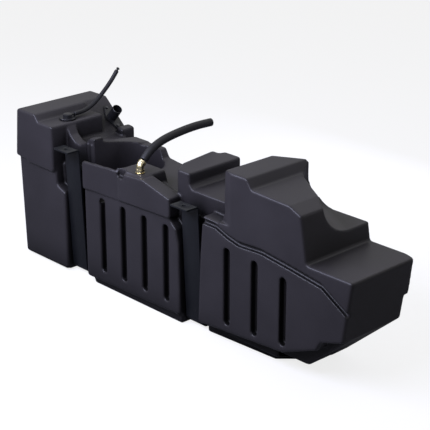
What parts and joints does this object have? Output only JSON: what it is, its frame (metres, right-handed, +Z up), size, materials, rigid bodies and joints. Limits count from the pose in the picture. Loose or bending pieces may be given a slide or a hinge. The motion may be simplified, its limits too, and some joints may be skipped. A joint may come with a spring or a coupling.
{
  "type": "vehicle fuel tank",
  "caption": "Black moulded plastic truck fuel tank with ribbed side, domed rear, steel strap slings, brass vent elbow, filler neck, sender with level float, and vent hoses.",
  "frame": {"origin": "on the ground under the middle of the tank, which stands on its moulded belly", "axes": "+X along the vehicle towards the low end, -Y towards the outer ribbed side, +Z up"},
  "size_m": [1.6707, 0.418, 0.7022],
  "materials": {
    "tank_plastic": "satin moulded polyethylene",
    "sling_steel": "satin powder coat",
    "liner_rubber": "matte",
    "seal_rubber": "matte",
    "hose_rubber": "satin",
    "valve_plastic": "satin",
    "poppet_plastic": "matte",
    "breather_plastic": "satin",
    "brass": "bright machined",
    "neck_metal": "satin black",
    "zinc_steel": "zinc plated",
    "cup_plastic": "natural acetal",
    "filter_cloth": "woven",
    "float_foam": "closed cell"
  },
  "bodies": {
    "tank": {"tank_shell": "tank_plastic", "sling_front": "sling_steel", "sling_rear": "sling_steel", "sling_liner_front": "liner_rubber", "sling_liner_rear": "liner_rubber", "rollover_grommet": "seal_rubber", "rollover_valve": "valve_plastic", "vent_hose": "hose_rubber", "vent_breather": "breather_plastic", "elbow_insert": "brass", "vent_elbow": "brass", "breather_hose": "hose_rubber", "filler_gasket": "seal_rubber", "filler_neck": "neck_metal", "filler_bolts": "zinc_steel", "filler_inserts": "brass", "filler_flap_pin": "zinc_steel", "sender_seal": "seal_rubber", "sender_flange": "valve_plastic", "sender_lock_ring": "zinc_steel", "sender_bolts": "zinc_steel", "sender_inserts": "brass", "sender_connector": "breather_plastic", "sender_tubes": "zinc_steel", "sender_rods": "zinc_steel", "reservoir_cup": "cup_plastic", "pickup_sock": "filter_cloth", "level_sensor": "cup_plastic", "pivot_clip": "zinc_steel"},
    "poppet": {"rollover_poppet": "poppet_plastic"},
    "flap": {"filler_flap": "zinc_steel"},
    "level_arm": {"float_arm": "zinc_steel", "level_float": "float_foam"}
  },
  "joints": [
    {"name": "level_arm_hinge", "type": "hinge", "parent": "tank", "child": "level_arm", "pos_m": [-0.293, -0.037, 0.112], "axis": [0, -1, 0], "range_deg": [0, 83]},
    {"name": "poppet_slide", "type": "slide", "parent": "tank", "child": "poppet", "axis": [0, 0, 1], "range_m": [0, 0.005]},
    {"name": "flap_hinge", "type": "hinge", "parent": "tank", "child": "flap", "pos_m": [-0.67761, 0.139, 0.50663], "axis": [0, 1, 0], "range_deg": [0, 70], "stiffness_Nm_per_rad": 0.01, "springref_deg": -17.19}
  ]
}
